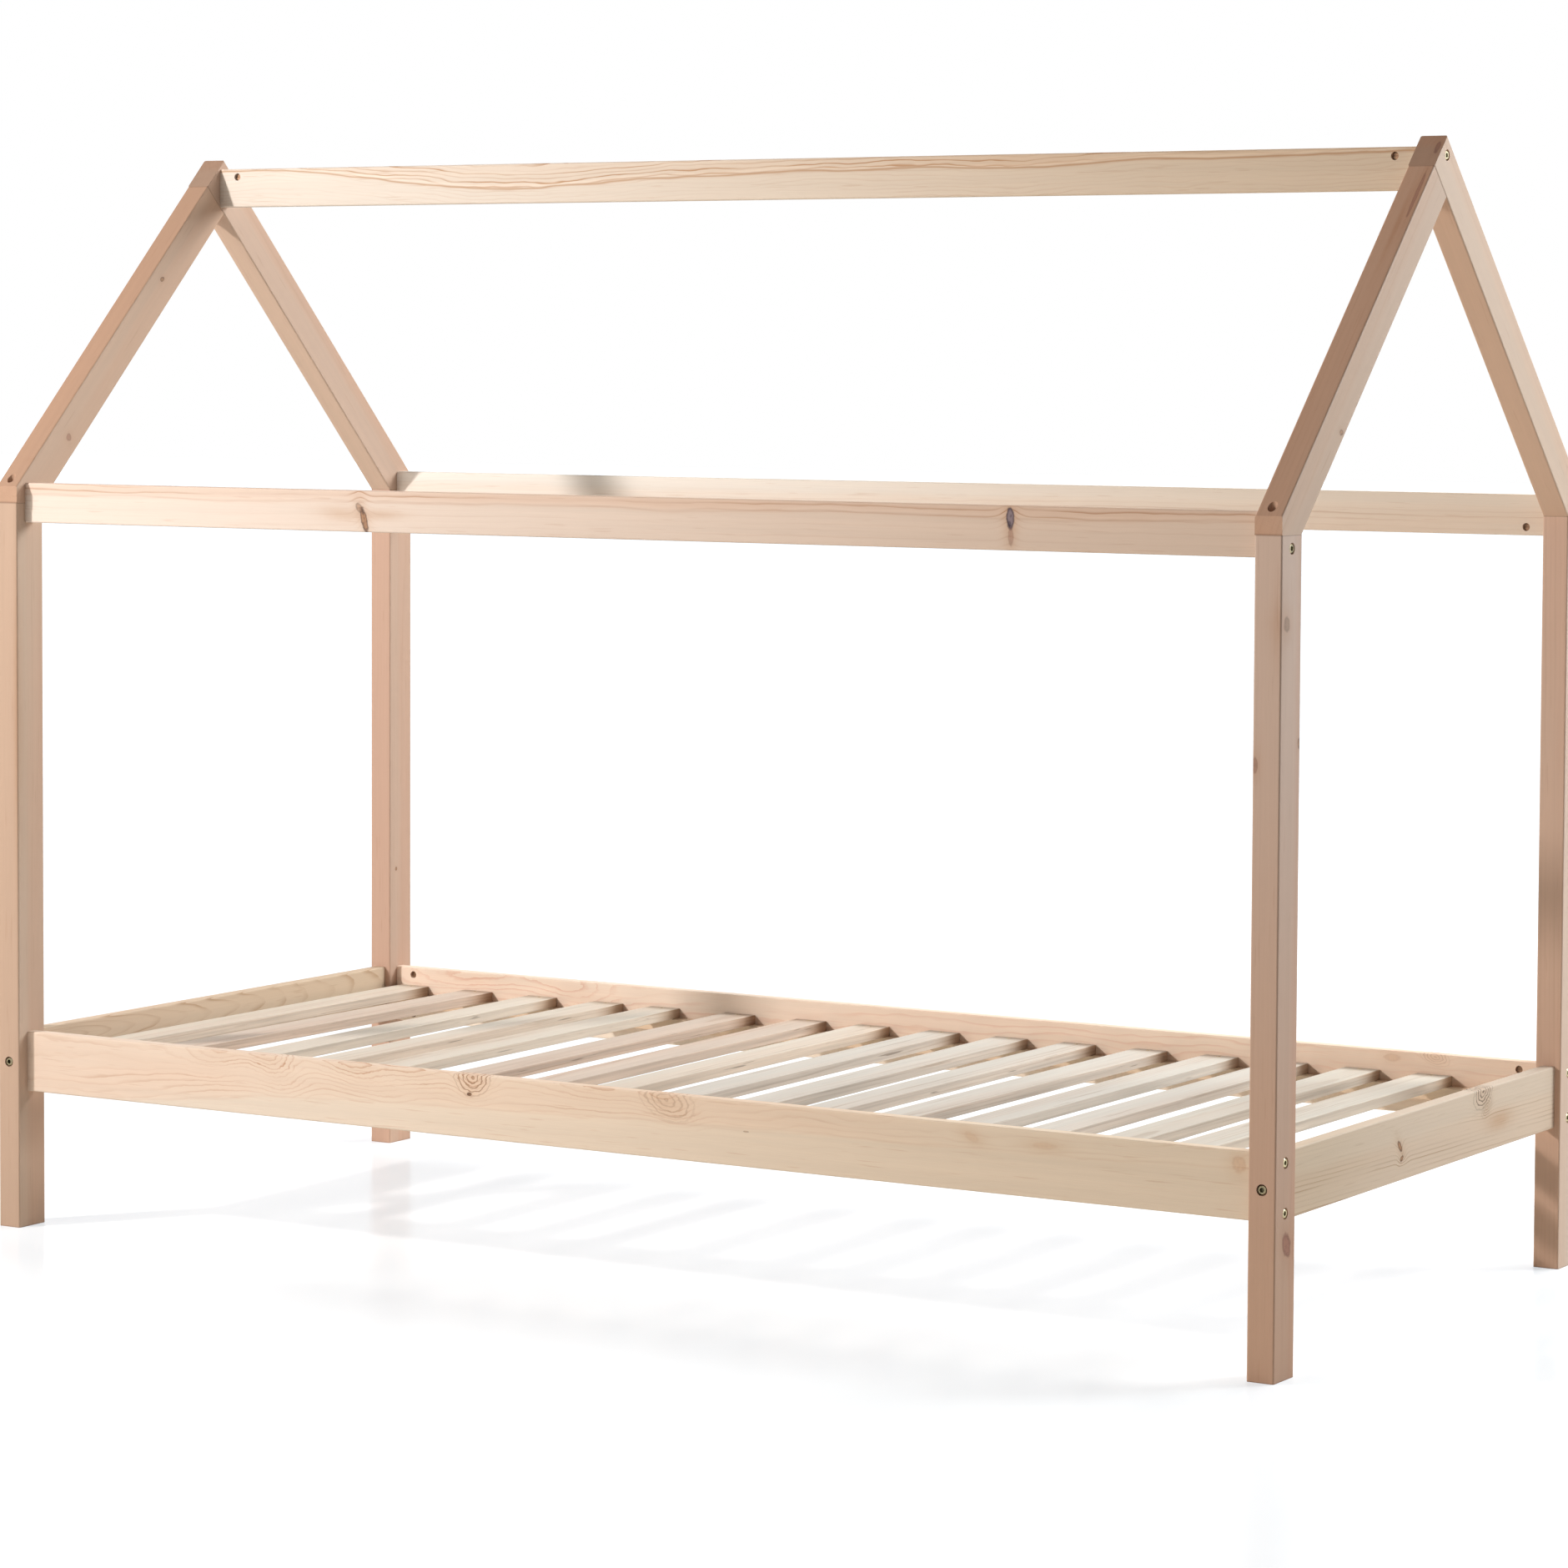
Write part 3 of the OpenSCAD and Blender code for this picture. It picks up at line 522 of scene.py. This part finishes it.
def add_knots(g, name, axes, middle, place, spacing):
    """The board's knots, how far they bend its rings, and how near they are, from 0 to 1."""
    knots, bend, near = [], 0.0, 0.0
    for spec in KNOTS.get(name, []):
        gap = Vector(spec["spot"]) - middle
        node = g.add("ShaderNodeGroup", node_tree=KNOT)
        values = {
            "Place": place, "Spot": tuple(gap.dot(axis) for axis in axes), "Radii": spec["radii"],
            "Slant": spec["slant"], "Rings": spec["rings"] * spacing, "Dark": spec["dark"],
        }
        for label, value in values.items():
            g.put(node.inputs[label], value)
        bend = g.math("ADD", node.outputs["Bend"], bend)
        if spec["rings"]:
            near = g.math("MAXIMUM", node.outputs["Near"], near)
        knots.append((spec, node.outputs))
    return knots, bend, near


def draw_knots(g, colour, knots):
    """The stains and arcs and then the cores of the knots."""
    for spec, parts in knots:
        colour = g.mix_tint(g.times(parts["Halo"], spec["stain"]), colour, STAIN)
        if spec["arcs"]:
            colour = g.mix(g.times(parts["Arcs"], spec["arcs"]), colour, TONES[spec["tone"]][0])
    for spec, parts in knots:
        if spec["dark"]:
            colour = g.mix(parts["Core"], colour, g.mix(parts["Shade"], *TONES[spec["tone"]]))
    return colour


# Metres over which the rings of a board fade, and how strongly they still show beyond
FADING_LENGTH, FADED_CONTRAST = 0.5, 0.25

# What the random draws range over: the spacing and the tone as shares, the place in the noise and the depth
# of the pith in metres, its lean as a slope, and the heartwood's edge as a share of the board's half width
SPACINGS, TONE_RANGE = (0.85, 1.2), (0.97, 1.03)
SEEDS, PITH_DEPTHS = (3, 40), (0.03, 0.08)
LEANS, HEART_PLACES = (-0.012, 0.012), (-0.4, 0.4)


def heart_curve(g, style, along):
    """Height of the heartwood's line across the board, in metres."""
    curve = g.times(along, style.get("slope", 0.0))
    for where, width, depth in style.get("dips", []):
        curve = g.times_add(g.bell(g.minus(along, where), width), -depth, curve)
    return curve


def add_rings(g, style, parts, halves, place, spacing, bend, near):
    """The board's own pine, and its seed. The order of the random draws decides how every board looks."""
    face = random.choice((-1, 1))
    seed = random.uniform(*SEEDS)
    pith = (random.uniform(-1.0, 1.0) * halves[1], face * random.uniform(*PITH_DEPTHS))
    lean = (random.uniform(*LEANS), random.uniform(*LEANS))
    heart = style.get("heart", random.uniform(*HEART_PLACES) * halves[1])
    side = style.get("side", random.choice((-1, 1)))
    contrast, warm = style["contrast"], style["warm"]
    if "fading" in style:
        faded = g.fade(parts[0], style["fading"], style["fading"] + FADING_LENGTH)
        contrast = g.times_add(faded, FADED_CONTRAST - contrast, contrast)
        warm = g.mix(faded, warm, style["early"])
    values = {
        "Place": place, "Bend": bend, "Spacing": spacing, "Seed": seed,
        "Pith": (0.0, *style.get("pith", pith)), "Lean": (0.0, *style.get("lean", lean)),
        "Wave": style["wave"], "Flame": style["flame"],
        "Contrast": g.times(contrast, g.times_add(near, KNOT_CONTRAST, 1.0)),
        "Heart": heart, "Curve": heart_curve(g, style, parts[0]), "Side": side,
        "Line": style.get("line", 0.0), "Early": style["early"], "Late": style["late"], "Warm": warm,
    }
    pine = g.add("ShaderNodeGroup", node_tree=PINE)
    for label, value in values.items():
        g.put(pine.inputs[label], value)
    return pine.outputs, seed


# How squarely a face has to look along an axis to count as a flank, a slat's side or end grain: from not
# at all to fully
FLANK_FACING, SIDE_FACING, END_FACING = (0.6, 0.9), (0.45, 0.9), (0.75, 0.95)


def facing(g, normal, axis, levels):
    """How far a face looks along an axis, from 0 to 1."""
    return g.fade(g.size(g.vector("DOT_PRODUCT", normal, tuple(axis))), *levels)


def tint_board(g, colour, style, parts, halves, normal, through):
    """The tints of the whole board, partly its tone and partly painted light and shade, and the painted light
    and shade of its ends and its flanks.
    """
    tone = random.uniform(*TONE_RANGE)
    colour = g.scaled(colour, [share * tone for share in style.get("tint", (1.0, 1.0, 1.0))])
    places = {
        "tip": g.fade(parts[0], -halves[0], halves[0]),
        "tail_painted_light": g.fade(parts[0], -halves[0], 0.0, 1.0, 0.0),
        "flank_painted_light": facing(g, normal, through, FLANK_FACING),
    }
    for where, share in places.items():
        if where in style:
            colour = g.scaled(colour, g.mix(share, WHITE, (*style[where], 1.0)))
    return colour


# How fine the marks on a slat are, per metre along, across and through it, and how strongly they show
SLAT_FINENESS = {"streak": (5, 260, 260), "cloud": (4, 30, 60), "mark": (9, 60, 240), "band": (2.5, 60, 130)}
SLAT_BROWN, SLAT_MARK = rgb(150, 122, 96), rgb(104, 84, 68)
STREAK_LEVELS, CLOUD_LEVELS, MARK_LEVELS = (0.56, 0.72), (0.40, 0.62), (0.68, 0.75)
BROWN_SHARE, MARK_SHARE, TOP_END_SHARE = 0.45, 0.6, 0.4
TOP_BAND_LIFT, SIDE_BAND_LIFT, SIDE_STREAK_LIFT = 0.16, 0.70, 0.35
# The sides are a little greyer and darker, partly rough-sawn wood and partly painted shade; the ends turn
# brown, partly stain and partly painted shade
SAWN_AND_SHADED_SIDE_TINT = (1.00, 0.96, 0.94)
TOP_END_STAIN_AND_SHADE, SIDE_END_STAIN_AND_SHADE = (0.80, 0.74, 0.66), (0.70, 0.60, 0.52)
# Distances from a slat's end, in metres, over which its top and its sides turn brown: partly stain and partly
# painted shade
TOP_END = (0.040, 0.0)
SIDE_END = (0.090, 0.020)


def slat_wear(g, colour, parts, halves, facing_side, seed):
    """Brown streaks; rough-sawn sides, greyer and a little darker with marks, partly sawn wood and partly
    painted shade; and brown ends, partly stain and partly painted shade.
    """
    place = g.vector("ADD", g.join(*parts), (seed, seed, seed))

    def noise(name, detail=2, roughness=0.5):
        return g.noise(g.scaled(place, SLAT_FINENESS[name]), detail, roughness)

    streak, band = noise("streak", 3, 0.6), noise("band")
    brown = g.times(g.fade(streak, *STREAK_LEVELS), g.fade(noise("cloud"), *CLOUD_LEVELS))
    colour = g.mix(g.times(brown, BROWN_SHARE), colour, SLAT_BROWN)
    colour = g.lift(colour, band, TOP_BAND_LIFT)
    # Rough-sawn sides, a little darker: partly the sawn wood and partly painted shade
    rough = g.lift(g.scaled(colour, SAWN_AND_SHADED_SIDE_TINT), streak, SIDE_STREAK_LIFT)
    rough = g.lift(rough, band, SIDE_BAND_LIFT)
    rough = g.mix(g.times(g.fade(noise("mark"), *MARK_LEVELS), MARK_SHARE), rough, SLAT_MARK)
    colour = g.mix(facing_side, colour, rough)
    # Brown ends of the slat, partly stain and partly painted shade
    far = g.size(parts[0])
    top_end_stain_and_shade = g.times(g.fade(far, *(halves[0] - gap for gap in TOP_END)), TOP_END_SHARE)
    side_end_stain_and_shade = g.times(g.fade(far, *(halves[0] - gap for gap in SIDE_END)), facing_side)
    return g.mix_tint(side_end_stain_and_shade, g.mix_tint(top_end_stain_and_shade, colour, TOP_END_STAIN_AND_SHADE), SIDE_END_STAIN_AND_SHADE)


# End grain is a little darker, joints have a dark line, and the long arrises are a little smoother from
# rubbing and a little lighter, partly rubbed wear and partly painted highlight. The line and the arrises fade
# over these distances in metres.
END_GRAIN_TINT, SEAM_TINT, ARRIS_WEAR_AND_HIGHLIGHT_TINT = (0.93, 0.88, 0.84), (0.35, 0.28, 0.24), (1.08, 1.07, 1.06)
SEAM_FADES, ARRIS_WEAR_AND_HIGHLIGHT_FADES = (0.0004, 0.0018), (0.0005, 0.003)
SEAM_SHARE, ARRIS_WEAR_AND_HIGHLIGHT_SHARE = 0.5, 0.35
WOOD_BUMP = {"Strength": 0.35, "Distance": 0.0004}
WOOD_ROUGHNESS, GRAIN_ROUGHNESS, RUBBED_ROUGHNESS, WOOD_SPECULAR = 0.52, 0.12, -0.15, 0.35


def joint_line(g, colour, parts, halves):
    """Dark line where a post or a rafter meets the next piece."""
    last = g.minus(halves[0], g.size(parts[0]))
    return g.mix_tint(g.times(g.fade(last, *SEAM_FADES, 1.0, 0.0), SEAM_SHARE), colour, SEAM_TINT)


def worn_and_highlit_arrises(g, parts, halves):
    """How much rubbed wear and painted highlight a point gets: most on the board's long arrises, and 0 away
    from them.
    """
    room = g.minus(halves[1] + halves[2], g.size(parts[1]))
    room = g.minus(room, g.size(parts[2]))
    return g.times(g.fade(room, *ARRIS_WEAR_AND_HIGHLIGHT_FADES, 1.0, 0.0), ARRIS_WEAR_AND_HIGHLIGHT_SHARE)


def board_material(name, axes, kind, slot):
    """Pine for one board, with its own pith, tilt, tone and knots, and painted light and shade in its tints.
    """
    random.seed(name)
    style = dict(KINDS[kind], **BOARDS.get(name, {}))
    grain, across, through = axes
    middle, halves = board_size(name, axes)
    material, g = new_material(f"{slot}_{name}")
    parts, place = local_place(g, axes, middle)
    spacing = style["spacing"] * random.uniform(*SPACINGS)
    knots, bend, near = add_knots(g, name, axes, middle, place, spacing)
    pine, seed = add_rings(g, style, parts, halves, place, spacing, bend, near)

    normal = g.add("ShaderNodeNewGeometry").outputs["Normal"]
    # Tints: partly the board's tone, partly painted light and shade
    colour = tint_board(g, pine["Colour"], style, parts, halves, normal, through)
    colour = draw_knots(g, colour, knots)
    if kind == "slat":
        colour = slat_wear(g, colour, parts, halves, facing(g, normal, across, SIDE_FACING), seed)
    colour = g.mix_tint(facing(g, normal, grain, END_FACING), colour, END_GRAIN_TINT)
    if kind in ("post", "rafter"):
        colour = joint_line(g, colour, parts, halves)
    arris_wear_and_highlight = worn_and_highlit_arrises(g, parts, halves)
    # Lighter arrises, partly rubbed wear and partly painted highlight
    colour = g.mix_tint(arris_wear_and_highlight, colour, ARRIS_WEAR_AND_HIGHLIGHT_TINT)

    bump = g.add("ShaderNodeBump", {**WOOD_BUMP, "Height": pine["Height"]})
    roughness = g.times_add(pine["Height"], GRAIN_ROUGHNESS, WOOD_ROUGHNESS)
    roughness = g.times_add(arris_wear_and_highlight, RUBBED_ROUGHNESS, roughness)
    shader = g.add("ShaderNodeBsdfPrincipled", {
        "Base Color": colour, "Roughness": roughness, "Specular IOR Level": WOOD_SPECULAR,
        "Normal": bump.outputs[0],
    })
    g.finish(shader.outputs[0])
    return material


# How far out the bolt heads reach along X and along Y, and how deep below a head's face the painted shade
# of its socket and sides lies, in metres
HEAD_FACE_X, HEAD_FACE_Y = 1.0345, 0.4895
SOCKET_SHADE_DEPTH, SOCKET_SHADE_FADE = 0.0035, 0.002
SOCKET_SHADE_TINT, SOCKET_SHADE_SHARE = (0.10, 0.10, 0.09), 0.9

# The spangles and clouds of the zinc: how fine they are per metre, and how much they lighten and darken it
SPANGLE_FINENESS, SPANGLE_LIFT = 900, 0.15
CLOUD_FINENESS, CLOUD_LIFT = 220, 0.75
METAL_ROUGHNESS_SPREAD = 0.25
METAL_BUMP = {"Strength": 0.25, "Distance": 0.0001}

# Beech, and the short flecks in it
BEECH, BEECH_FLECK = rgb(214, 176, 138), rgb(176, 128, 92)
BEECH_FINENESS, BEECH_LEVELS = 500, (0.55, 0.7)
BEECH_ROUGHNESS = (0.5, 0.65)
BEECH_BUMP = {"Strength": 0.3, "Distance": 0.0002}


def fine_place(g, fineness):
    """The frame's coordinates, multiplied for a noise with the same fineness in each direction."""
    return g.scaled(g.object_place(), (fineness, fineness, fineness))


def metal_material(name, tint, smoothest):
    """Zinc-plated steel with small spangles and handling marks, and painted shade in the sockets of the
    bolts.
    """
    material, g = new_material(name)
    spangle = g.noise(fine_place(g, SPANGLE_FINENESS), 2)
    cloud = g.noise(fine_place(g, CLOUD_FINENESS), 3)
    colour = g.lift(g.lift(tint, spangle, SPANGLE_LIFT), cloud, CLOUD_LIFT)
    x, y, _ = g.split(g.object_place())
    below = g.math("MINIMUM", g.minus(HEAD_FACE_X, g.size(x)), g.minus(HEAD_FACE_Y, g.size(y)))
    # Painted shade in the hex sockets and on the sides of the bolt heads
    socket = g.times(g.bell(g.minus(below, SOCKET_SHADE_DEPTH), SOCKET_SHADE_FADE), SOCKET_SHADE_SHARE)
    colour = g.mix_tint(socket, colour, SOCKET_SHADE_TINT)
    bump = g.add("ShaderNodeBump", {**METAL_BUMP, "Height": spangle})
    shader = g.add("ShaderNodeBsdfPrincipled", {
        "Base Color": colour, "Metallic": 1.0, "Normal": bump.outputs[0],
        "Roughness": g.times_add(cloud, METAL_ROUGHNESS_SPREAD, smoothest),
    })
    g.finish(shader.outputs[0])
    return material


def dowel_material():
    """Beech: plain, pinkish, with short darker flecks."""
    material, g = new_material("beech_dowel")
    fleck = g.noise(fine_place(g, BEECH_FINENESS), 2)
    colour = g.mix(g.fade(fleck, *BEECH_LEVELS), BEECH, BEECH_FLECK)
    bump = g.add("ShaderNodeBump", {**BEECH_BUMP, "Height": fleck})
    shader = g.add("ShaderNodeBsdfPrincipled", {
        "Base Color": colour, "Roughness": g.fade(fleck, 0, 1, *BEECH_ROUGHNESS), "Normal": bump.outputs[0],
    })
    g.finish(shader.outputs[0])
    return material


def dress(name, material, slot):
    mesh = NODES[name].data
    mesh.materials.clear()
    mesh.materials.append(material)


def board_kind(name):
    """Kind of board, its axes and its slot, from the node's name."""
    if name.startswith("post_"):
        return "post", UPRIGHT, "pine_post"
    if name.startswith("rafter_front_"):
        return "rafter", FRONT_SLOPE, "pine_rafter"
    if name.startswith("rafter_back_"):
        return "rafter", BACK_SLOPE, "pine_rafter"
    if name == "ridge_beam" or name.startswith("eave_beam"):
        return "beam", ALONG, "pine_beam"
    if name in ("side_rail_front", "side_rail_back"):
        return "side_rail", ALONG, "pine_rail"
    if name in ("end_rail_left", "end_rail_right"):
        return "end_rail", ACROSS, "pine_rail"
    if name.startswith("slat_ledger"):
        return "ledger", ALONG, "pine_ledger"
    if name.startswith("slat_") and name[5:].isdigit():
        return "slat", slat_axes(name), "pine_slat"
    return None


def dress_all():
    for name in NODES:
        found = board_kind(name)
        if found:
            kind, axes, slot = found
            dress(name, board_material(name, axes, kind, slot), slot)
    # Two copies of the same zinc, the lighter for the other bolts and screws and the darker for the end rail
    # bolts whose heads face along Y: painted light and shade
    steel = metal_material("zinc_steel", rgb(212, 202, 168), 0.16)
    shaded_steel = metal_material("zinc_steel_shaded", rgb(164, 156, 130), 0.16)
    # The nuts' brown stands for the wood they reflect and the shade in their holes: painted reflection and
    # painted shade
    nut_steel = metal_material("nut_steel", rgb(132, 104, 84), 0.38)
    beech = dowel_material()
    for name in NODES:
        if name == "end_rail_bolts":
            dress(name, shaded_steel, "zinc_steel")
        elif name.endswith(("bolts", "screws")):
            dress(name, steel, "zinc_steel")
        elif name.endswith("nuts"):
            dress(name, nut_steel, "nut_steel")
        elif name.endswith("dowels"):
            dress(name, beech, "beech_dowel")


FLOOR_SIZE = 80
# What the floor throws back at the bed, and what the camera sees: its colour, its shine and a glow that
# grows with the distance from the bed until the floor is white
FLOOR_BOUNCE, FLOOR_SEEN = (0.8, 0.77, 0.72, 1), (0.445, 0.445, 0.455, 1)
FLOOR_SHINE, FLOOR_ROUGHNESS = (0.26, 0.215, 0.205, 1), 0.16
FLOOR_GLOW = (0.81, 0.93, 1, 1)
GLOW_DISTANCES, GLOW_STRENGTHS = (2.0, 6.0), (0.557, 1.0)
SOFT_LIGHT, SOFT_STRENGTH = (1.0, 0.97, 0.94, 1), 0.04


def studio_floor():
    """White floor that shows the shadow and a faint reflection."""
    bpy.ops.mesh.primitive_plane_add(size=FLOOR_SIZE)
    floor = bpy.context.object
    floor.name = "studio_floor"
    material, g = new_material("studio_floor")
    rays = g.add("ShaderNodeLightPath").outputs
    bounce = g.add("ShaderNodeBsdfDiffuse", {"Color": FLOOR_BOUNCE}).outputs[0]
    seen = g.add("ShaderNodeBsdfDiffuse", {"Color": FLOOR_SEEN}).outputs[0]
    shine = g.add("ShaderNodeBsdfGlossy", {"Color": FLOOR_SHINE, "Roughness": FLOOR_ROUGHNESS}).outputs[0]
    strength = g.fade(g.vector("LENGTH", g.object_place()), *GLOW_DISTANCES, *GLOW_STRENGTHS)
    glow = g.add("ShaderNodeEmission", {"Color": FLOOR_GLOW, "Strength": strength}).outputs[0]
    seen = g.add_shaders(g.add_shaders(seen, shine), glow)
    g.finish(g.mix_shaders(rays["Is Camera Ray"], bounce, seen))
    floor.data.materials.append(material)


def studio_world():
    """White background for the camera and in reflections, and a little soft light for the rest."""
    world = bpy.data.worlds.new("studio")
    bpy.context.scene.world = world
    g = empty_graph(world)
    rays = g.add("ShaderNodeLightPath").outputs
    mirrored = g.math("MAXIMUM", rays["Is Glossy Ray"], rays["Is Transmission Ray"])
    open_ray = g.math("MAXIMUM", rays["Is Camera Ray"], mirrored)
    white = g.add("ShaderNodeBackground", {"Color": WHITE, "Strength": 1.0}).outputs[0]
    soft = g.add("ShaderNodeBackground", {"Color": SOFT_LIGHT, "Strength": SOFT_STRENGTH}).outputs[0]
    g.finish(g.mix_shaders(open_ray, soft, white), "ShaderNodeOutputWorld")


# Name, place, target, size in metres, power in watts and tint of each lamp
LAMPS = [
    ("key", (-3.01, -3.28, 2.76), (0, 0, 0.7), 0.30, 160, (1.0, 0.94, 0.89)),
    ("right_back", (3.8, 3.2, 3.0), (0, 0, 0.7), 2.0, 216, (0.95, 1.0, 1.0)),
    ("back", (1.1, 3.2, 4.6), (0, 0, 0.5), 2.5, 168, (1.0, 0.97, 0.9)),
    ("front_left", (-2.5, -5.0, 1.8), (0, 0, 0.7), 2.5, 60, (1.0, 0.95, 0.85)),
]


def lamp(name, place, target, size, power, tint):
    data = bpy.data.lights.new(name, "AREA")
    data.shape = "SQUARE"
    data.size = size
    data.energy = power
    data.color = tint
    lamp_object = bpy.data.objects.new(name, data)
    bpy.context.scene.collection.objects.link(lamp_object)
    lamp_object.location = place
    lamp_object.rotation_euler = (Vector(target) - Vector(place)).to_track_quat("-Z", "Y").to_euler()


# Camera, solved from the photograph, in metres and radians; the shift keeps the whole bed in the frame
CAMERA_PLACE = (3.6725, -6.0007, 1.2880)
CAMERA_YAW, CAMERA_PITCH, CAMERA_ROLL = 0.547613, -0.055967, -0.004738
FOCAL_PIXELS, FRAME_PIXELS = 5879.9, 1880
SENSOR_MM = 36.0
CAMERA_SHIFT_Y = -0.10
CLIP_START, CLIP_END = 0.1, 200


def camera_turn():
    """Turn of the camera: its right, up and backward directions as columns."""
    level = math.cos(CAMERA_PITCH)
    ahead = Vector((-math.sin(CAMERA_YAW) * level, math.cos(CAMERA_YAW) * level, math.sin(CAMERA_PITCH)))
    right = Vector((math.cos(CAMERA_YAW), math.sin(CAMERA_YAW), 0))
    down = ahead.cross(right)
    turned_right = math.cos(CAMERA_ROLL) * right + math.sin(CAMERA_ROLL) * down
    turned_down = -math.sin(CAMERA_ROLL) * right + math.cos(CAMERA_ROLL) * down
    return Matrix((turned_right, -turned_down, -ahead)).transposed()


def camera():
    data = bpy.data.cameras.new("photo_view")
    data.sensor_fit = "HORIZONTAL"
    data.sensor_width = SENSOR_MM
    data.lens = SENSOR_MM * FOCAL_PIXELS / FRAME_PIXELS
    data.shift_y = CAMERA_SHIFT_Y
    data.clip_start, data.clip_end = CLIP_START, CLIP_END
    view = bpy.data.objects.new("photo_view", data)
    bpy.context.scene.collection.objects.link(view)
    view.matrix_world = Matrix.Translation(CAMERA_PLACE) @ camera_turn().to_4x4()
    bpy.context.scene.camera = view


dress_all()
studio_floor()
studio_world()
for settings in LAMPS:
    lamp(*settings)
camera()
bpy.context.scene.view_settings.view_transform = "Standard"
